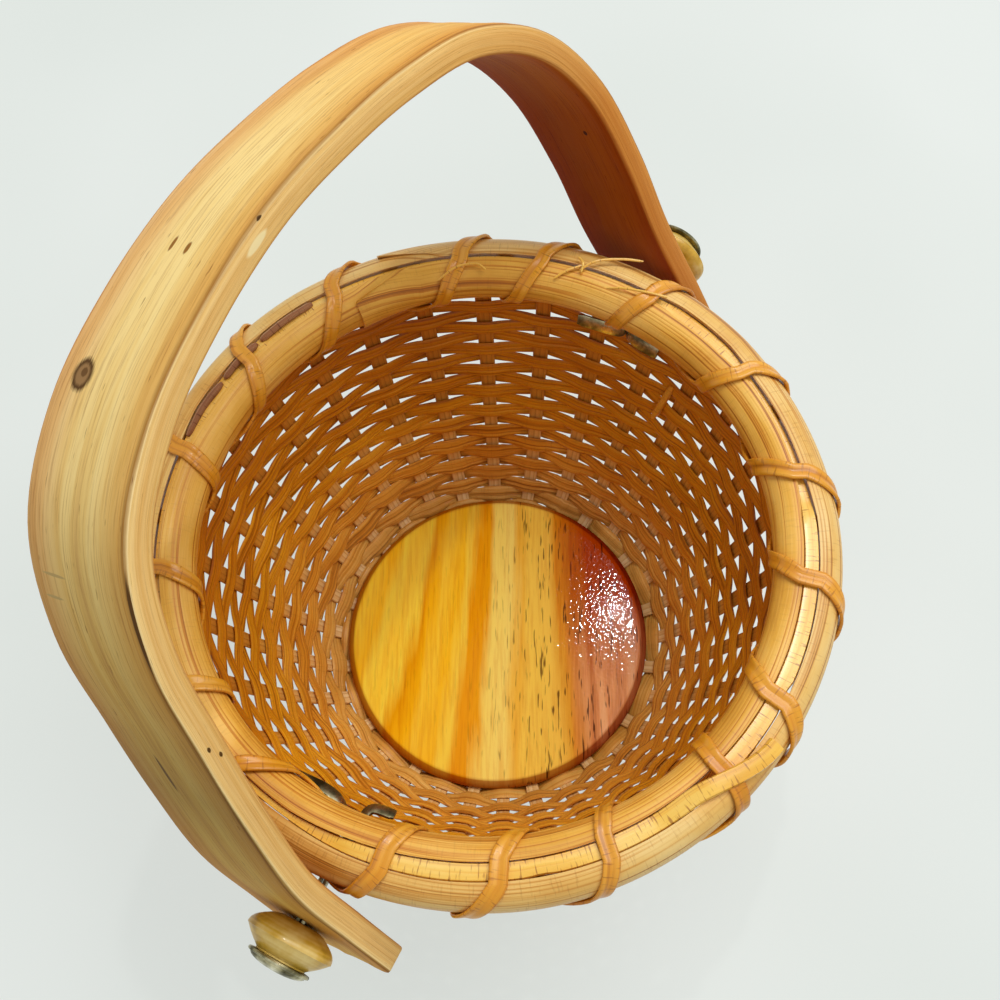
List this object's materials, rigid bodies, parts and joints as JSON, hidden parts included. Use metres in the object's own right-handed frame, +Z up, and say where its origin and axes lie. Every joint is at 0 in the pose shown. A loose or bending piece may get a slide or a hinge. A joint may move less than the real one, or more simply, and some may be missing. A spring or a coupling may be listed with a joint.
{
  "type": "nantucket basket",
  "caption": "Round woven cane basket on a turned wooden base, with lashed rim hoops and a bent wooden handle that swings on two studs.",
  "frame": {"origin": "centre of the base board's underside, on the surface that the basket stands on", "axes": "+Z up out of the basket's mouth, X along the handle's pivot axis, which passes 3 mm beside the centre, and the handle leans towards +Y at rest"},
  "size_m": [0.1908, 0.1535, 0.1665],
  "materials": {
    "varnished_pine": "clear varnish, honey yellow to red-brown",
    "stave_cane": "split cane, natural",
    "weave_cane": "flat cane, honey stain",
    "hoop_rattan": "half-round rattan, natural, fine lengthwise ribs",
    "filler_cane": "pale flat cane",
    "lashing_cane": "binding cane, satin",
    "bent_wood": "steam-bent wood, rubbed oil",
    "bone": "polished cream bone",
    "old_brass": "tarnished, satin"
  },
  "bodies": {
    "basket": {"base_board": "varnished_pine", "stave_01": "stave_cane", "stave_02": "stave_cane", "stave_03": "stave_cane", "stave_04": "stave_cane", "stave_05": "stave_cane", "stave_06": "stave_cane", "stave_07": "stave_cane", "stave_08": "stave_cane", "stave_09": "stave_cane", "stave_10": "stave_cane", "stave_11": "stave_cane", "stave_12": "stave_cane", "stave_13": "stave_cane", "stave_14": "stave_cane", "stave_15": "stave_cane", "stave_16": "stave_cane", "stave_17": "stave_cane", "stave_18": "stave_cane", "stave_19": "stave_cane", "stave_20": "stave_cane", "stave_21": "stave_cane", "stave_22": "stave_cane", "stave_23": "stave_cane", "stave_24": "stave_cane", "stave_25": "stave_cane", "stave_26": "stave_cane", "stave_27": "stave_cane", "stave_28": "stave_cane", "stave_29": "stave_cane", "stave_30": "stave_cane", "stave_31": "stave_cane", "weaver_1": "weave_cane", "weaver_2": "weave_cane", "weaver_3": "weave_cane", "weaver_4": "weave_cane", "weaver_5": "weave_cane", "weaver_6": "weave_cane", "rim_hoop_inner": "hoop_rattan", "rim_hoop_outer": "hoop_rattan", "rim_filler": "filler_cane", "rim_lashing": "lashing_cane", "knob_left": "bone", "knob_right": "bone", "pin_left": "old_brass", "pin_right": "old_brass"},
    "handle": {"handle": "bent_wood"}
  },
  "joints": [
    {"name": "handle_swing", "type": "hinge", "parent": "basket", "child": "handle", "pos_m": [0, -0.003, 0.06745], "axis": [1, 0, 0], "range_deg": [-90, 148]}
  ]
}
